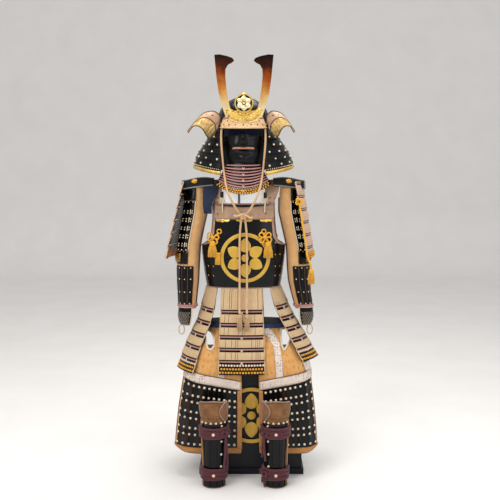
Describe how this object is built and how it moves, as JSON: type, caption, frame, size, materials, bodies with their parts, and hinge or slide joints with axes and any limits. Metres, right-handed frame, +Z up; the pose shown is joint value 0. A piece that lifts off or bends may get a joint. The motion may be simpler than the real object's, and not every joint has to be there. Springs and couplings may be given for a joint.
{
  "type": "samurai armour on a display stand with armour box",
  "caption": "Full laced samurai armour with horned helmet, mask, cuirass, sleeves, thigh and shin guards, on a limbless stand that rises from its lidded armour box.",
  "frame": {"origin": "on the underside of the armour box, below the centre line of the cuirass and stand", "axes": "+Z up, -Y the way the armour faces, +X to the viewer's right"},
  "size_m": [0.6558, 0.5439, 1.782],
  "materials": {
    "box_lacquer": "satin black lacquer on wood",
    "stand_wood": "dark stained wood",
    "form_white": "smooth white cotton cover",
    "black_lacquer": "gloss black lacquer on iron and leather",
    "gilt": "worn gilding",
    "horn_copper": "polished gilded copper",
    "tan_leather": "stencilled tan leather",
    "printed_leather": "printed pinkish-brown leather",
    "salmon_lacing": "salmon silk lacing on black lames",
    "tan_lacing": "close tan silk lacing",
    "navy_cloth": "matt navy cloth with grey piping",
    "sleeve_cloth": "ochre brocade",
    "thigh_cloth": "ochre brocade",
    "blue_belt": "twisted blue cloth",
    "knee_cloth": "quilted tan cloth",
    "maroon_tie": "flat maroon braid",
    "tan_cord": "braided tan cord",
    "gold_cord": "gold silk cord"
  },
  "bodies": {
    "root": {"armour_box_body": "box_lacquer", "armour_box_lid": "box_lacquer", "stand_frame": "stand_wood", "stand_chest_form": "form_white", "stand_head_block": "stand_wood", "helmet_bowl": "black_lacquer", "helmet_crown_fitting": "gilt", "helmet_visor": "tan_leather", "neck_guard": "black_lacquer", "turnback_left": "tan_leather", "turnback_right": "tan_leather", "horn_base": "gilt", "horn_left": "horn_copper", "horn_right": "horn_copper", "crest_disc": "gilt", "face_mask": "black_lacquer", "throat_guard": "salmon_lacing", "cuirass_front": "black_lacquer", "cuirass_back": "black_lacquer", "chest_board": "printed_leather", "shoulder_strap_left": "printed_leather", "shoulder_strap_right": "printed_leather", "shoulder_wing_left": "navy_cloth", "shoulder_wing_right": "navy_cloth", "shoulder_cloth": "navy_cloth", "skirt_front": "tan_lacing", "skirt_front_left": "tan_lacing", "skirt_front_right": "tan_lacing", "skirt_back_left": "tan_lacing", "skirt_back_right": "tan_lacing", "skirt_back": "tan_lacing", "shoulder_guard_left": "tan_lacing", "shoulder_guard_right": "tan_lacing", "sleeve_left": "sleeve_cloth", "arm_plates_left": "black_lacquer", "forearm_splints_left": "black_lacquer", "hand_guard_left": "black_lacquer", "sleeve_right": "sleeve_cloth", "arm_plates_right": "black_lacquer", "forearm_splints_right": "black_lacquer", "hand_guard_right": "black_lacquer", "thigh_belt": "blue_belt", "thigh_cloth_left": "thigh_cloth", "thigh_cloth_right": "thigh_cloth", "thigh_plates_left": "black_lacquer", "thigh_plates_right": "black_lacquer", "shin_guard_left": "black_lacquer", "knee_cloth_left": "knee_cloth", "shin_tie_upper_left": "maroon_tie", "shin_tie_lower_left": "maroon_tie", "shin_guard_right": "black_lacquer", "knee_cloth_right": "knee_cloth", "shin_tie_upper_right": "maroon_tie", "shin_tie_lower_right": "maroon_tie", "helmet_cord_left": "tan_cord", "cord_tassel_left": "tan_cord", "helmet_cord_right": "tan_cord", "cord_tassel_right": "tan_cord", "chest_tassel_left": "gold_cord", "chest_tassel_right": "gold_cord"}
  },
  "joints": []
}
